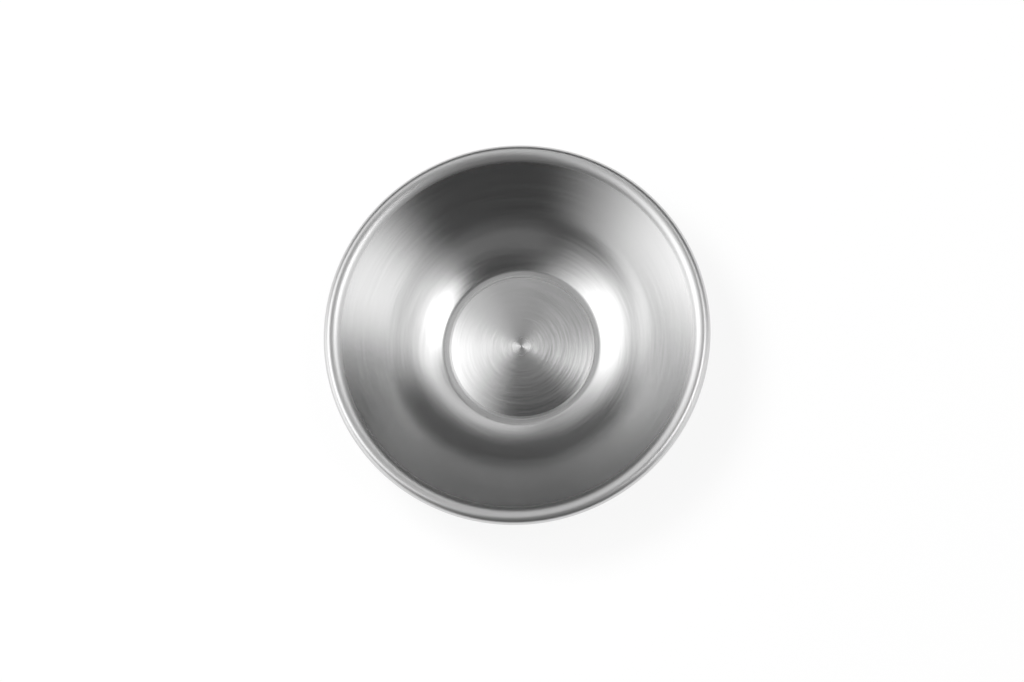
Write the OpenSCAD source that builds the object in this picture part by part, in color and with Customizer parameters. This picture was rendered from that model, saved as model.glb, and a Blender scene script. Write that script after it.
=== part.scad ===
// Stainless steel mixing bowl: one drawn and spun sheet, with its rim rolled around a wire hoop.
// The bowl stands on its base ring at z = 0, and its axis is Z.

/* [Bowl] */
// Diameter over the rolled rim
rim_d = 160; // [152:1:172]
// Height from the surface that the bowl stands on to the crest of the rim
bowl_h = 30; // [27:1:33]
// Thickness of the sheet
sheet_t = 0.8; // [0.5:0.1:1.0]

/* [Base] */
// Diameter of the turned disc inside the standing ring
disc_d = 59; // [53:1:64]
// Height of the disc's middle above its edge
disc_crown = 2; // [0.5:0.1:3]
// How far the disc's edge is pressed up, clear of the surface that the bowl stands on
disc_lift = 0.25; // [0.15:0.05:0.5]
// Radius of the two bends between the disc and the standing ring, inside the bowl
step_r = 2; // [1.2:0.1:3]
// Width of the flat ring that the bowl stands on
ring_w = 1.5; // [1:0.1:2.5]

/* [Wall] */
// Radius of the bend from the standing ring into the wall, inside the bowl
toe_r = 6; // [4:0.5:10]
// Radius of the rounded lower wall, inside the bowl
belly_r = 54; // [48:1:64]
// Slope of the straight upper wall, in degrees from the horizontal
wall_slope = 42.5; // [40:0.5:46]

/* [Rim] */
// Radius of the flared lip between the wall and the crest of the rim
lip_r = 6.5; // [5.5:0.5:9]
// Diameter of the stiffening wire
wire_d = 4; // [3:0.1:5]
// Clearance between the wire and the sheet that is rolled around it
wire_fit = 0.1; // [0.05:0.05:0.2]
// Gap that the edge of the rolled sheet leaves under the lip
tuck_gap = 0.3; // [0.2:0.05:0.6]
// Gap between the two ends of the wire
wire_end_gap = 0.5; // [0.2:0.1:2]

/* [Hidden] */
$fn = 240;
// How far the straight steps along a bend may stray from its true arc
arc_tolerance = 0.01;

// Rolled rim: it is built up from the wire outwards, and its crest is the highest line of the bowl
roll_r = wire_d / 2 + wire_fit + sheet_t;
crest_r = rim_d / 2 - roll_r;

// Base: the disc is a low dome, which steps down to the ring through two opposite bends
disc_r = disc_d / 2;
dome_r = (pow(disc_r, 2) + pow(disc_crown, 2)) / (2 * disc_crown);
dome_angle = asin(disc_r / dome_r);
disc_z = sheet_t + disc_lift + disc_crown;
step_angle = acos((1 + cos(dome_angle) - disc_lift / step_r) / 2);
step_run = step_r * (2 * sin(step_angle) - sin(dome_angle));
ring_out_r = disc_r + step_run + ring_w;

// Wall: the rounded lower wall takes the turn that the toe leaves, up to the straight wall below the lip
toe_center = [ring_out_r, sheet_t + toe_r];
lip_center = [crest_r, bowl_h - lip_r];
center_line = lip_center - toe_center;
wall_along = [cos(wall_slope), sin(wall_slope)];
wall_across = [-sin(wall_slope), cos(wall_slope)];
belly_excess = belly_r - toe_r;
belly_turn = acos((center_line * wall_across + lip_r + belly_r) / belly_excess);
wall_length = center_line * wall_along - belly_excess * sin(belly_turn);

// Tucked edge: the roll ends where its outside comes within tuck_gap of the lip's underside
roll_offset = lip_r - roll_r;
tuck_reach = pow(lip_r - sheet_t - tuck_gap, 2) - pow(roll_r, 2) - pow(roll_offset, 2);
roll_sweep = 360 - acos(tuck_reach / (2 * roll_r * roll_offset));

// The sheet's upper face, followed from the middle of the disc to the edge tucked under the rim.
// A stretch is [length, 0] where it is straight, and [radius, turn] where it bends up or, below 0, down.
stretches = [
    [dome_r, -dome_angle],
    [step_r, dome_angle - step_angle],
    [step_r, step_angle],
    [ring_w, 0],
    [toe_r, wall_slope - belly_turn],
    [belly_r, belly_turn],
    [wall_length, 0],
    [lip_r, -wall_slope],
    [roll_r, -roll_sweep],
];

// Number of straight steps that stand for a stretch
function step_count(stretch) =
    stretch[1] == 0 ? 1 : ceil(abs(stretch[1]) / (2 * acos(1 - arc_tolerance / stretch[0])));

// Place and heading, [x, y, angle], after a share of a stretch that starts at another such pose
function along(pose, stretch, share) =
    let (heading = pose[2], turn = stretch[1] * share, side = sign(turn) * stretch[0])
    turn == 0
    ? pose + share * stretch[0] * [cos(heading), sin(heading), 0]
    : pose + [side * (sin(heading + turn) - sin(heading)), side * (cos(heading) - cos(heading + turn)), turn];

// Poses along all the stretches from number i on, with the end of the last one
function follow(pose, i = 0) =
    i == len(stretches)
    ? [pose]
    : let (stretch = stretches[i], n = step_count(stretch))
        concat([for (k = [0 : n - 1]) along(pose, stretch, k / n)], follow(along(pose, stretch, 1), i + 1));

// Section of the sheet: its upper face outwards, and its lower face back at right angles below it
module sheet_section() {
    path = follow([0, disc_z, 0]);
    upper = [for (p = path) [p[0], p[1]]];
    lower = [for (p = path) [p[0], p[1]] + sheet_t * [sin(p[2]), -cos(p[2])]];
    polygon(concat(upper, [for (i = [len(lower) - 1 : -1 : 0]) lower[i]]));
}

module bowl_shell() {
    color("silver")
        rotate_extrude()
            sheet_section();
}

module rim_wire() {
    end_turn = 2 * asin(wire_end_gap / (2 * crest_r));
    color("darkgray")
        rotate(end_turn / 2)
            rotate_extrude(angle = 360 - end_turn)
                translate([crest_r, bowl_h - roll_r])
                    circle(d = wire_d);
}

bowl_shell();
rim_wire();
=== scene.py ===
"""Looks of a stainless steel mixing bowl: one spun sheet with its rim rolled around a wire hoop."""

import logging
import math
from dataclasses import dataclass, field
from enum import Enum
from typing import Any, Iterator, NamedTuple, Optional, Sequence, Union

import bmesh
import bpy
from mathutils import Matrix, Vector


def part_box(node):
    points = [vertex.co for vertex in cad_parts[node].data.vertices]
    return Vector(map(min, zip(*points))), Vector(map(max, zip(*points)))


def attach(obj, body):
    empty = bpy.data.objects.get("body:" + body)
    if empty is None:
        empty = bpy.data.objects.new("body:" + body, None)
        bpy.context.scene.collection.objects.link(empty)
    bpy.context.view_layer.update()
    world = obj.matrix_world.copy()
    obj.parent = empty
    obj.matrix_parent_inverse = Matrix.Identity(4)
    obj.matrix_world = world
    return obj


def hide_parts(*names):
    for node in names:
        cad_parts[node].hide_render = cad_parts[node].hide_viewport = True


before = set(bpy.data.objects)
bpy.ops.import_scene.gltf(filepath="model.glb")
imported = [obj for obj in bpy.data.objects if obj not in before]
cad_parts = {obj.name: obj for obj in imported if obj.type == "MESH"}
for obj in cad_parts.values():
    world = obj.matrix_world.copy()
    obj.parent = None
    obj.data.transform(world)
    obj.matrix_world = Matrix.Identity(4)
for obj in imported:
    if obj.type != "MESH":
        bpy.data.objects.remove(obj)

LOG = logging.getLogger("mixing_bowl")
MM = 0.001
BODY = "root"
PHOTO_SIZE = (1024, 682)
WHITE = (1.0, 1.0, 1.0, 1.0)
PAPER_WHITE = (0.9, 0.9, 0.9, 1.0)
# A noise texture runs from 0 to 1
NOISE_MIDDLE = 0.5
# Anisotropic Rotation is counted in whole turns
QUARTER_TURN = 0.25

Number = Union["Signal", float]


class Signal:
    """A socket of a node. Arithmetic on it adds Math nodes to its tree."""

    def __init__(self, bench: "NodeBench", socket: bpy.types.NodeSocket) -> None:
        """Wraps one socket of a tree."""
        self.bench = bench
        self.socket = socket

    def out(self, name: str) -> "Signal":
        """Another output of the same node."""
        return Signal(self.bench, self.socket.node.outputs[name])

    def fade_out(self, middle: float, reach: float) -> "Signal":
        """A smooth step from 1 down to 0, as this angle in radians grows.

        Args:
            middle: The angle where the step is at a half, in degrees.
            reach: Half the width of the step, in degrees.

        Returns:
            The step.
        """
        return self.bench.add(
            "ShaderNodeMapRange",
            {"interpolation_type": "SMOOTHSTEP"},
            {
                "Value": self,
                "From Min": math.radians(middle - reach),
                "From Max": math.radians(middle + reach),
                "To Min": 1.0,
                "To Max": 0.0,
            },
        )

    def __add__(self, other: Number) -> "Signal":
        """This value plus another."""
        return self.bench.math("ADD", self, other)

    def __radd__(self, other: Number) -> "Signal":
        """Another value plus this one."""
        return self.bench.math("ADD", other, self)

    def __sub__(self, other: Number) -> "Signal":
        """This value less another."""
        return self.bench.math("SUBTRACT", self, other)

    def __rsub__(self, other: Number) -> "Signal":
        """Another value less this one."""
        return self.bench.math("SUBTRACT", other, self)

    def __mul__(self, other: Number) -> "Signal":
        """This value times another."""
        return self.bench.math("MULTIPLY", self, other)

    def __rmul__(self, other: Number) -> "Signal":
        """Another value times this one."""
        return self.bench.math("MULTIPLY", other, self)

    def __truediv__(self, other: Number) -> "Signal":
        """This value divided by another."""
        return self.bench.math("DIVIDE", self, other)

    def __rtruediv__(self, other: Number) -> "Signal":
        """Another value divided by this one."""
        return self.bench.math("DIVIDE", other, self)


class NodeBench:
    """A node tree under construction."""

    def __init__(self, tree: bpy.types.NodeTree) -> None:
        """Empties a tree, to build on."""
        self.tree = tree
        tree.nodes.clear()

    def add(
        self,
        kind: str,
        settings: Optional[dict[str, Any]] = None,
        inputs: Optional[dict[Union[str, int], Any]] = None,
        output: Union[str, int] = 0,
    ) -> Signal:
        """Adds a node, and sets it up before anything is linked to it.

        Args:
            kind: The node's type.
            settings: Attributes of the node, such as a Math node's operation.
            inputs: Values or signals for its input sockets, by name or number.
            output: The output that is wanted.

        Returns:
            The wanted output. An output node has none, so its first input is given.
        """
        node = self.tree.nodes.new(kind)
        for name, value in (settings or {}).items():
            setattr(node, name, value)
        for key, value in (inputs or {}).items():
            if isinstance(value, Signal):
                self.tree.links.new(value.socket, node.inputs[key])
            else:
                node.inputs[key].default_value = value
        return Signal(self, node.outputs[output] if node.outputs else node.inputs[0])

    def math(self, operation: str, *values: Number) -> Signal:
        """The result of a Math node that works on the given values."""
        return self.add("ShaderNodeMath", {"operation": operation}, dict(enumerate(values)))

    def split(self, vector: Signal) -> tuple[Signal, Signal, Signal]:
        """The X, Y and Z of a vector."""
        parts = self.add("ShaderNodeSeparateXYZ", inputs={"Vector": vector})
        return parts.out("X"), parts.out("Y"), parts.out("Z")

    def level_length(self, x: Signal, y: Signal) -> Signal:
        """The length of a vector in plan, from its X and Y."""
        return self.math("SQRT", x * x + y * y)


class BowlPlace(NamedTuple):
    """A point in the bowl's frame: its X, Y and Z, and its distance from the bowl's axis."""

    x: Signal
    y: Signal
    z: Signal
    radius: Signal

    @classmethod
    def shaded(cls, bench: NodeBench) -> "BowlPlace":
        """The point that a material is shading."""
        x, y, z = bench.split(bench.add("ShaderNodeTexCoord", output="Object"))
        return cls(x, y, z, bench.level_length(x, y))


class RoomDirection(NamedTuple):
    """A direction in the room: the X and Y of its heading, and its elevation in radians."""

    x: Signal
    y: Signal
    elevation: Signal

    @classmethod
    def shaded(cls, bench: NodeBench) -> "RoomDirection":
        """Takes the direction that a world is shading.

        Args:
            bench: The world's node tree.

        Returns:
            The direction.
        """
        x, y, z = bench.split(bench.add("ShaderNodeTexCoord", output="Generated"))
        level = bench.level_length(x, y)
        return cls(x / level, y / level, bench.math("ARCSINE", z))


def new_material(name: str) -> tuple[bpy.types.Material, NodeBench]:
    """Makes a material that has no nodes yet.

    Args:
        name: Its name.

    Returns:
        The material, and the bench that its nodes are built on.
    """
    material = bpy.data.materials.new(name)
    material.use_nodes = True
    return material, NodeBench(material.node_tree)


def new_object(name: str, data: bpy.types.ID) -> bpy.types.Object:
    """Makes an object in the scene.

    Args:
        name: Its name.
        data: Its mesh, lamp or camera.

    Returns:
        The object.
    """
    thing = bpy.data.objects.new(name, data)
    bpy.context.scene.collection.objects.link(thing)
    return thing


def new_mesh_object(name: str, bm: bmesh.types.BMesh) -> bpy.types.Object:
    """Makes a finished bmesh an object in the scene.

    Args:
        name: The object's name, and its mesh's.
        bm: The bmesh, which is freed.

    Returns:
        The object.
    """
    mesh = bpy.data.meshes.new(name)
    bm.to_mesh(mesh)
    bm.free()
    return new_object(name, mesh)


@dataclass(frozen=True)
class Grain:
    """Fine lines that a tool leaves in the steel.

    Attributes:
        around: How fast the lines change on the way round the bowl, per radian.
        across: How fast they change along the section, per metre.
        depth: Height of the lines, in metres.
        gloss: Change of roughness between the lines.
        tone: Change of colour between the lines.
        layers: Number of finer layers of lines on top of the main ones.
        fineness: Height of each finer layer, as a share of the one before it.
    """

    around: float
    across: float
    depth: float
    gloss: float
    tone: float
    layers: float = 2.0
    fineness: float = 0.6

    def noise(self, bench: NodeBench, place: BowlPlace) -> Signal:
        """Draws the lines.

        Args:
            bench: The material's node tree.
            place: The point that is shaded.

        Returns:
            The lines as a signal about 0, from -0.5 to 0.5.
        """
        lines = bench.add(
            "ShaderNodeCombineXYZ",
            inputs={
                "X": place.x / place.radius * self.around,
                "Y": place.y / place.radius * self.around,
                "Z": (place.radius + place.z) * self.across,
            },
        )
        texture = bench.add(
            "ShaderNodeTexNoise",
            inputs={"Vector": lines, "Scale": 1.0, "Detail": self.layers, "Roughness": self.fineness},
        )
        return texture - NOISE_MIDDLE


@dataclass(frozen=True)
class SteelFinish:
    """Bare stainless steel, worked by a tool that leaves its lines in one direction.

    Attributes:
        name: Name of the material.
        tint: Colour of the steel.
        roughness: Roughness of the surface between its lines.
        anisotropy: How much further light spreads across the lines than along them.
        turn: Turn of that spread from the way round the bowl, in whole turns.
        grains: The lines.
        eye: Radius of the duller spot that a turning tool leaves in the middle, in metres.
        eye_haze: How much rougher the middle of that spot is.
    """

    name: str
    tint: tuple[float, float, float]
    roughness: float
    anisotropy: float
    turn: float
    grains: tuple[Grain, ...]
    eye: float = 0.0
    eye_haze: float = 0.0

    def material(self) -> bpy.types.Material:
        """Builds the material, with the lines in its colour, its gloss and its height.

        Returns:
            The material.
        """
        material, bench = new_material(self.name)
        place = BowlPlace.shaded(bench)
        tone: Number = 1.0
        roughness: Number = self.roughness
        height: Number = 0.0
        if self.eye:
            nearness = bench.math("MAXIMUM", 1.0 - place.radius / self.eye, 0.0)
            roughness = nearness * self.eye_haze + roughness
        for grain in self.grains:
            noise = grain.noise(bench, place)
            tone = noise * grain.tone + tone
            roughness = noise * grain.gloss + roughness
            height = noise * grain.depth + height
        color = bench.add(
            "ShaderNodeVectorMath", {"operation": "SCALE"}, {0: self.tint, "Scale": tone}
        )
        # The height is in metres, so the bump takes it as it is
        bump = bench.add("ShaderNodeBump", inputs={"Strength": 1.0, "Distance": 1.0, "Height": height})
        steel = bench.add(
            "ShaderNodeBsdfPrincipled",
            inputs={
                "Base Color": color,
                "Metallic": 1.0,
                "Roughness": roughness,
                "Anisotropic": self.anisotropy,
                "Anisotropic Rotation": self.turn,
                "Normal": bump,
            },
        )
        bench.add("ShaderNodeOutputMaterial", inputs={"Surface": steel})
        return material


TURNED_BASE = SteelFinish(
    name="turned_base",
    tint=(0.70, 0.70, 0.70),
    roughness=0.22,
    anisotropy=0.93,
    turn=QUARTER_TURN,
    grains=(
        Grain(around=0.7, across=950.0, depth=3e-6, gloss=0.08, tone=0.13),
        Grain(around=1.4, across=1900.0, depth=1e-6, gloss=0.06, tone=0.14),
    ),
    eye=4.5 * MM,
    eye_haze=0.25,
)
PRESSED_STEP = SteelFinish(
    name="pressed_step",
    tint=(0.50, 0.50, 0.50),
    roughness=0.38,
    anisotropy=0.0,
    turn=0.0,
    grains=(Grain(around=2.2, across=1500.0, depth=6e-7, gloss=0.05, tone=0.06),),
)
BRUSHED_WALL = SteelFinish(
    name="brushed_wall",
    tint=(0.64, 0.64, 0.64),
    roughness=0.25,
    anisotropy=0.55,
    turn=QUARTER_TURN,
    grains=(
        Grain(around=1.5, across=520.0, depth=1e-6, gloss=0.05, tone=0.16),
        Grain(around=2.5, across=900.0, depth=6e-7, gloss=0.05, tone=0.14),
    ),
)
ROLLED_RIM = SteelFinish(
    name="rolled_rim",
    tint=(0.67, 0.67, 0.67),
    roughness=0.36,
    anisotropy=0.0,
    turn=0.0,
    grains=(
        Grain(around=220.0, across=150.0, depth=2e-7, gloss=0.03, tone=0.03),
        Grain(around=5.0, across=1800.0, depth=5e-7, gloss=0.03, tone=0.02),
    ),
)
DRAWN_WIRE = SteelFinish(
    name="drawn_wire",
    tint=(0.55, 0.55, 0.55),
    roughness=0.32,
    anisotropy=0.5,
    turn=QUARTER_TURN,
    grains=(Grain(around=6.0, across=5000.0, depth=1e-6, gloss=0.08, tone=0.05),),
)


class Zone(Enum):
    """Stretches of the sheet that are finished in different ways, by their material index."""

    TURNED_BASE = 0
    PRESSED_STEP = 1
    BRUSHED_WALL = 2
    ROLLED_RIM = 3


SHEET_FINISHES = {
    Zone.TURNED_BASE: TURNED_BASE,
    Zone.PRESSED_STEP: PRESSED_STEP,
    Zone.BRUSHED_WALL: BRUSHED_WALL,
    Zone.ROLLED_RIM: ROLLED_RIM,
}


class SectionPen:
    """Draws the section of the sheet in the XZ plane, stretch by stretch."""

    def __init__(self, bm: bmesh.types.BMesh, start: Vector) -> None:
        """Sets the pen down, heading outwards along X.

        Args:
            bm: The mesh to draw in.
            start: Where the section starts.
        """
        self.bm = bm
        self.tip = bm.verts.new(start)
        self.heading = 0.0

    def straight(self, length: float, steps: int) -> list[bmesh.types.BMEdge]:
        """Draws a straight stretch.

        Args:
            length: Its length, in metres.
            steps: The number of edges in it.

        Returns:
            The edges drawn.
        """
        stride = Vector((math.cos(self.heading), 0.0, math.sin(self.heading))) * length / steps
        edges = []
        for _ in range(steps):
            made = bmesh.ops.extrude_vert_indiv(self.bm, verts=[self.tip])
            self.tip = made["verts"][0]
            bmesh.ops.translate(self.bm, verts=[self.tip], vec=stride)
            edges += made["edges"]
        return edges

    def bend(self, radius: float, turn: float, steps: int) -> list[bmesh.types.BMEdge]:
        """Draws a bend.

        Args:
            radius: Its radius, in metres.
            turn: Its angle, in radians, above 0 where it bends up.
            steps: The number of edges in it.

        Returns:
            The edges drawn.
        """
        side = Vector((-math.sin(self.heading), 0.0, math.cos(self.heading)))
        center = self.tip.co + side * math.copysign(radius, turn)
        known = set(self.bm.edges)
        made = bmesh.ops.spin(
            self.bm, geom=[self.tip], cent=center, axis=(0.0, -1.0, 0.0), angle=turn, steps=steps
        )
        self.tip = next(part for part in made["geom_last"] if isinstance(part, bmesh.types.BMVert))
        self.heading += turn
        return [edge for edge in self.bm.edges if edge not in known]


@dataclass(frozen=True)
class SectionSteps:
    """Number of straight edges that stand for each stretch of the sheet's section."""

    dome: int = 12
    step: int = 6
    ring: int = 2
    toe: int = 8
    belly: int = 20
    wall: int = 8
    lip: int = 20
    roll: int = 60


@dataclass
class BowlShell:
    """The bowl's one sheet: turned base, standing ring, curved wall, flared lip and rolled rim.

    Lengths are in metres.

    Attributes:
        node: The solid that the piece stands for.
        sheet: Thickness of the sheet.
        disc: Radius of the turned disc.
        crown: Height of the disc's middle above its edge.
        lift: Height of the disc's edge above the standing ring.
        step: Radius of the two bends between the disc and the ring.
        ring: Width of the standing ring.
        toe: Radius of the bend from the ring into the wall.
        belly: Radius of the rounded lower wall.
        slope: Slope of the straight upper wall, in radians.
        lip: Radius of the flared lip.
        roll: Radius of the rolled rim.
        tuck_gap: Gap between the tucked edge and the lip.
        weld: Distance within which doubled corners are merged.
        sharp: Angle from which an edge between two faces shows as a sharp one, in radians.
        segments: Number of faces round the bowl.
        steps: Number of edges along its section.
        height: Height of the bowl, from its solid.
        rim: Radius over the rolled rim, from its solid.
    """

    node: str = "bowl_shell"
    sheet: float = 0.8 * MM
    disc: float = 29.5 * MM
    crown: float = 2.0 * MM
    lift: float = 0.25 * MM
    step: float = 2.0 * MM
    ring: float = 1.5 * MM
    toe: float = 6.0 * MM
    belly: float = 54.0 * MM
    slope: float = math.radians(42.5)
    lip: float = 6.5 * MM
    roll: float = 2.9 * MM
    tuck_gap: float = 0.3 * MM
    weld: float = 0.003 * MM
    sharp: float = math.radians(50.0)
    segments: int = 240
    steps: SectionSteps = SectionSteps()
    height: float = field(init=False)
    rim: float = field(init=False)

    def __post_init__(self) -> None:
        """Takes the bowl's height and rim radius from its solid."""
        low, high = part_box(self.node)
        self.height = high.z
        self.rim = (high.x - low.x) / 2

    @property
    def crest(self) -> float:
        """Radius of the rim's highest line."""
        return self.rim - self.roll

    @property
    def roll_height(self) -> float:
        """Height of the middle of the rolled rim."""
        return self.height - self.roll

    def tuck_turn(self) -> float:
        """Works out how far the roll turns before its edge comes up against the lip.

        Returns:
            The angle, in radians.
        """
        offset = self.lip - self.roll
        reach = (self.lip - self.sheet - self.tuck_gap) ** 2 - self.roll**2 - offset**2
        return 2 * math.pi - math.acos(reach / (2 * self.roll * offset))

    def draw_section(self, bm: bmesh.types.BMesh) -> Iterator[tuple[Zone, list[bmesh.types.BMEdge]]]:
        """Draws the sheet's upper face from the middle of the disc to the tucked edge.

        Args:
            bm: The mesh to draw in.

        Yields:
            The edges of each zone, in order.
        """
        # The disc is a low dome, which steps down to the ring through two opposite bends
        dome = (self.disc**2 + self.crown**2) / (2 * self.crown)
        dome_turn = math.asin(self.disc / dome)
        step_turn = math.acos((1 + math.cos(dome_turn) - self.lift / self.step) / 2)
        step_run = self.step * (2 * math.sin(step_turn) - math.sin(dome_turn))
        # The rounded lower wall takes the turn that the toe leaves, up to the straight wall below the lip
        toe_to_lip = Vector((
            self.crest - self.disc - step_run - self.ring,
            self.height - self.lip - self.sheet - self.toe,
        ))
        along = Vector((math.cos(self.slope), math.sin(self.slope)))
        across = Vector((-along.y, along.x))
        excess = self.belly - self.toe
        belly_turn = math.acos((toe_to_lip.dot(across) + self.lip + self.belly) / excess)
        wall = toe_to_lip.dot(along) - excess * math.sin(belly_turn)

        pen = SectionPen(bm, Vector((0.0, 0.0, self.sheet + self.lift + self.crown)))
        yield Zone.TURNED_BASE, pen.bend(dome, -dome_turn, self.steps.dome)
        step = pen.bend(self.step, dome_turn - step_turn, self.steps.step)
        step += pen.bend(self.step, step_turn, self.steps.step)
        yield Zone.PRESSED_STEP, step
        side = pen.straight(self.ring, self.steps.ring)
        side += pen.bend(self.toe, self.slope - belly_turn, self.steps.toe)
        side += pen.bend(self.belly, belly_turn, self.steps.belly)
        side += pen.straight(wall, self.steps.wall)
        yield Zone.BRUSHED_WALL, side
        rim = pen.bend(self.lip, -self.slope, self.steps.lip)
        rim += pen.bend(self.roll, -self.tuck_turn(), self.steps.roll)
        yield Zone.ROLLED_RIM, rim

    def spin_zone(self, bm: bmesh.types.BMesh, zone: Zone, edges: list[bmesh.types.BMEdge]) -> None:
        """Spins one zone of the section round the bowl's axis.

        Args:
            bm: The mesh that holds the section.
            zone: The zone, which gives its faces their material.
            edges: The zone's edges.
        """
        known = set(bm.faces)
        corners = {corner for edge in edges for corner in edge.verts}
        bmesh.ops.spin(
            bm,
            geom=[*corners, *edges],
            cent=(0.0, 0.0, 0.0),
            axis=(0.0, 0.0, 1.0),
            angle=2 * math.pi,
            steps=self.segments,
            use_merge=True,
        )
        for face in bm.faces:
            if face not in known:
                face.material_index = zone.value

    def build(self) -> bpy.types.Object:
        """Spins the whole section and gives the sheet its thickness.

        Returns:
            The sheet, as one closed piece.
        """
        bm = bmesh.new()
        for zone, edges in list(self.draw_section(bm)):
            self.spin_zone(bm, zone, edges)
        bmesh.ops.remove_doubles(bm, verts=bm.verts, dist=self.weld)
        bmesh.ops.recalc_face_normals(bm, faces=bm.faces)
        # The section is the sheet's upper face, so the disc has to face up before it gets its thickness
        middle = min(bm.faces, key=lambda face: face.calc_center_median().length)
        if middle.normal.z < 0:
            bmesh.ops.reverse_faces(bm, faces=bm.faces)
        bmesh.ops.solidify(bm, geom=bm.faces, thickness=self.sheet)
        for face in bm.faces:
            face.smooth = True
        for edge in bm.edges:
            edge.smooth = edge.calc_face_angle(0.0) < self.sharp
        return new_mesh_object("bowl_sheet", bm)

    def dress(self, piece: bpy.types.Object) -> None:
        """Gives the sheet its finishes, and puts it in the place of its solid.

        Args:
            piece: The sheet.
        """
        for zone in Zone:
            piece.data.materials.append(SHEET_FINISHES[zone].material())
        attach(piece, BODY)
        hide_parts(self.node)


@dataclass
class RimWire:
    """The hoop of wire inside the rolled rim, which keeps its solid's own mesh.

    Attributes:
        node: The wire's solid.
    """

    node: str = "rim_wire"

    def dress(self) -> bpy.types.Object:
        """Gives the wire its finish.

        Returns:
            The wire.
        """
        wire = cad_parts[self.node]
        wire.data.materials.clear()
        wire.data.materials.append(DRAWN_WIRE.material())
        return wire


@dataclass(frozen=True)
class SoftPanel:
    """A soft patch of light in the room.

    Attributes:
        azimuth: Side that its middle lies on, in degrees from +X towards +Y.
        spread: Half of its width, in degrees.
        low: Elevation of its lower edge, in degrees.
        high: Elevation of its upper edge, in degrees.
        strength: Brightness of its middle.
        fade: Half of the width over which its sides fade, in degrees.
        edge: Half of the height over which its lower and upper edges fade, in degrees.
    """

    azimuth: float
    spread: float
    low: float
    high: float
    strength: float
    fade: float
    edge: float = 6.0

    def glow(self, bench: NodeBench, direction: RoomDirection) -> Signal:
        """Works out the panel's light.

        Args:
            bench: The world's node tree.
            direction: The direction that the light comes from.

        Returns:
            The brightness in that direction.
        """
        side = math.radians(self.azimuth)
        away = bench.math("ARCCOSINE", direction.x * math.cos(side) + direction.y * math.sin(side))
        width = away.fade_out(self.spread, self.fade)
        under_low = direction.elevation.fade_out(self.low, self.edge)
        under_high = direction.elevation.fade_out(self.high, self.edge)
        return width * (under_high - under_low) * self.strength


RIGHT_TOP = SoftPanel(azimuth=7.0, spread=15.0, low=56.0, high=70.0, strength=4.8, fade=29.0)
RIGHT_EDGE = SoftPanel(azimuth=-16.0, spread=21.0, low=60.0, high=66.0, strength=3.0, fade=8.0)
RIGHT_SIDE = SoftPanel(azimuth=-5.0, spread=31.0, low=7.0, high=58.0, strength=0.8, fade=20.0)
RIGHT_LOW = SoftPanel(azimuth=-12.0, spread=19.0, low=7.0, high=13.0, strength=2.6, fade=16.0)
LEFT_WIDE = SoftPanel(azimuth=168.0, spread=58.0, low=38.0, high=75.0, strength=0.68, fade=18.0)
LEFT_TOP = SoftPanel(azimuth=172.0, spread=28.0, low=36.0, high=68.0, strength=1.65, fade=18.0)
LEFT_SIDE = SoftPanel(azimuth=178.0, spread=25.0, low=-2.0, high=37.0, strength=0.65, fade=22.0)
LEFT_LOW = SoftPanel(azimuth=196.0, spread=35.0, low=-6.0, high=19.0, strength=1.3, fade=26.0)
BACK = SoftPanel(azimuth=62.0, spread=42.0, low=47.0, high=54.0, strength=2.2, fade=12.0)
FRONT = SoftPanel(azimuth=323.0, spread=80.0, low=36.0, high=57.0, strength=0.18, fade=14.0)
OVERHEAD = SoftPanel(azimuth=111.0, spread=106.0, low=66.0, high=78.0, strength=0.45, fade=14.0)


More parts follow.
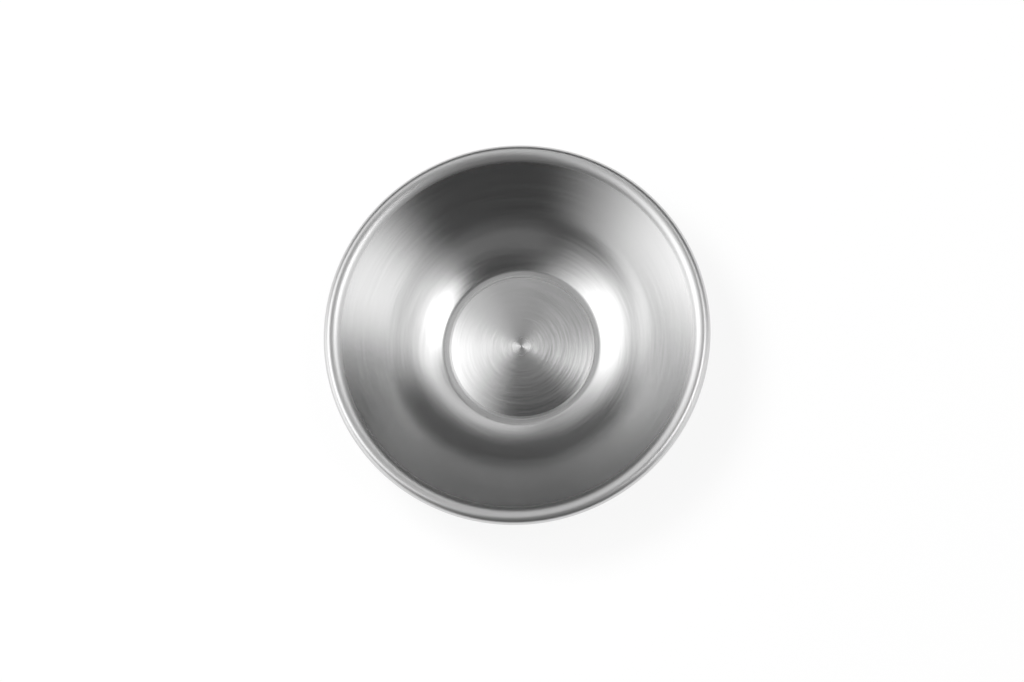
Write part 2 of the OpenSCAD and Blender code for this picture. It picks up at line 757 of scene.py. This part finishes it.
@dataclass
class Studio:
    """White floor and soft lights.

    Attributes:
        floor_size: Half the width of the floor, in metres.
        floor_drop: How far the floor lies below the bowl, in metres, so that the two don't coincide.
        shade: Share of the floor's light that a shadow can take away.
        painted_shade_reach: How close over the floor the bowl has to be to cut the floor's glow there, a
            painted contact shade, in metres.
        gloom: Brightness of the room between its lights.
        lamp_power: Power of the lamp that gives the bowl its shadow, in watts.
        lamp_size: Diameter of that lamp, in metres.
        lamp_place: Where it hangs, in metres.
        panels: The soft lights round the bowl.
    """

    floor_size: float = 4.0
    floor_drop: float = 0.1 * MM
    shade: float = 0.12
    painted_shade_reach: float = 20.0 * MM
    gloom: float = 0.04
    lamp_power: float = 9.5
    lamp_size: float = 0.5
    lamp_place: tuple[float, float, float] = (-0.56, 0.42, 0.98)
    panels: tuple[SoftPanel, ...] = (
        RIGHT_TOP,
        RIGHT_EDGE,
        RIGHT_SIDE,
        RIGHT_LOW,
        LEFT_WIDE,
        LEFT_TOP,
        LEFT_SIDE,
        LEFT_LOW,
        BACK,
        FRONT,
        OVERHEAD,
    )

    def floor_material(self) -> bpy.types.Material:
        """Builds a white that keeps a faint shadow, with a painted contact shade under the bowl, and that
        is clear from below.

        Returns:
            The material.
        """
        material, bench = new_material("white_floor")
        path = bench.add("ShaderNodeLightPath", output="Is Camera Ray")
        seen = path + path.out("Is Glossy Ray") + path.out("Is Transmission Ray")
        # Ambient occlusion cuts the floor's glow where the bowl is close over it: a painted contact
        # shade, on top of the paper's real shadow
        painted_shade_openness = bench.add("ShaderNodeAmbientOcclusion", inputs={"Distance": self.painted_shade_reach}, output="AO")
        whiteness = seen * painted_shade_openness * (1.0 - self.shade)
        paper = bench.add("ShaderNodeBsdfDiffuse", inputs={"Color": PAPER_WHITE})
        glow = bench.add("ShaderNodeEmission", inputs={"Strength": 1.0})
        top = bench.add("ShaderNodeMixShader", inputs={0: whiteness, 1: paper, 2: glow})
        below = bench.add("ShaderNodeNewGeometry", output="Backfacing")
        clear = bench.add("ShaderNodeBsdfTransparent")
        surface = bench.add("ShaderNodeMixShader", inputs={0: below, 1: top, 2: clear})
        bench.add("ShaderNodeOutputMaterial", inputs={"Surface": surface})
        return material

    def lay_floor(self) -> None:
        """Lays the floor just under the bowl."""
        bm = bmesh.new()
        bmesh.ops.create_grid(bm, x_segments=1, y_segments=1, size=self.floor_size)
        floor = new_mesh_object("floor", bm)
        floor.location.z = -self.floor_drop
        floor.data.materials.append(self.floor_material())

    def hang_lamp(self) -> None:
        """Hangs a broad lamp behind the bowl on its left, which the steel doesn't mirror."""
        data = bpy.data.lights.new("shadow_lamp", "AREA")
        data.energy = self.lamp_power
        data.shape = "DISK"
        data.size = self.lamp_size
        lamp = new_object("shadow_lamp", data)
        place = Vector(self.lamp_place)
        aim = place.to_track_quat("Z", "Y").to_matrix().to_4x4()
        lamp.matrix_world = Matrix.Translation(place) @ aim
        lamp.visible_glossy = False

    def light_room(self) -> None:
        """Sets a dim room with its lights round the bowl, white where the camera sees it."""
        world = bpy.data.worlds.new("studio_room")
        bpy.context.scene.world = world
        world.use_nodes = True
        bench = NodeBench(world.node_tree)
        direction = RoomDirection.shaded(bench)
        light: Number = self.gloom
        for panel in self.panels:
            light = panel.glow(bench, direction) + light
        color = bench.add("ShaderNodeCombineColor", inputs={"Red": light, "Green": light, "Blue": light})
        room = bench.add("ShaderNodeBackground", inputs={"Color": color})
        white = bench.add("ShaderNodeBackground", inputs={"Color": WHITE})
        seen = bench.add("ShaderNodeLightPath", output="Is Camera Ray")
        surface = bench.add("ShaderNodeMixShader", inputs={0: seen, 1: room, 2: white})
        bench.add("ShaderNodeOutputWorld", inputs={"Surface": surface})


@dataclass
class PhotoCamera:
    """The camera, almost straight above the bowl.

    Attributes:
        elevation: Angle of the view above the horizon, in degrees.
        azimuth: Side that the view leans to, in degrees from the front.
        lens: Focal length, in millimetres.
        sensor: Width of the sensor, in millimetres.
        rim_px: Where the middle of the rim lies in the picture.
        rim_width_px: Width of the rim in the picture.
    """

    elevation: float = 76.8
    azimuth: float = 22.5
    lens: float = 200.0
    sensor: float = 36.0
    rim_px: tuple[float, float] = (516.6, 333.9)
    rim_width_px: float = 388.2

    def place(self, bowl: BowlShell) -> None:
        """Puts the camera where the rim has its place and width in the picture.

        Args:
            bowl: The bowl to look at.
        """
        width, height = PHOTO_SIZE
        focal_px = self.lens / self.sensor * width
        distance = 2 * bowl.rim * focal_px / self.rim_width_px
        lean = math.radians(self.elevation)
        side = math.radians(self.azimuth)
        back = Vector((
            math.sin(side) * math.cos(lean),
            -math.cos(side) * math.cos(lean),
            math.sin(lean),
        ))
        right = (Vector((1.0, 0.0, 0.0)) - back * back.x).normalized()
        up = back.cross(right)
        across = (self.rim_px[0] - width / 2) / focal_px * distance
        above = (height / 2 - self.rim_px[1]) / focal_px * distance
        rim_middle = Vector((0.0, 0.0, bowl.roll_height))
        place = rim_middle + back * distance - right * across - up * above
        data = bpy.data.cameras.new("photo_camera")
        data.lens = self.lens
        data.sensor_width = self.sensor
        camera = new_object("photo_camera", data)
        aim = Matrix((right, up, back)).transposed().to_4x4()
        camera.matrix_world = Matrix.Translation(place) @ aim
        bpy.context.scene.camera = camera


def main() -> None:
    """Builds the bowl, its wire and the studio in order."""
    logging.basicConfig(level=logging.INFO, format="%(name)s: %(message)s")
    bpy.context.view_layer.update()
    bpy.context.scene.view_settings.view_transform = "Standard"
    bowl = BowlShell()
    sheet = bowl.build()
    bowl.dress(sheet)
    LOG.info("%s: %d faces", sheet.name, len(sheet.data.polygons))
    wire = RimWire().dress()
    LOG.info("%s: %d faces", wire.name, len(wire.data.polygons))
    studio = Studio()
    studio.lay_floor()
    studio.hang_lamp()
    studio.light_room()
    PhotoCamera().place(bowl)


if __name__ == "__main__":
    main()
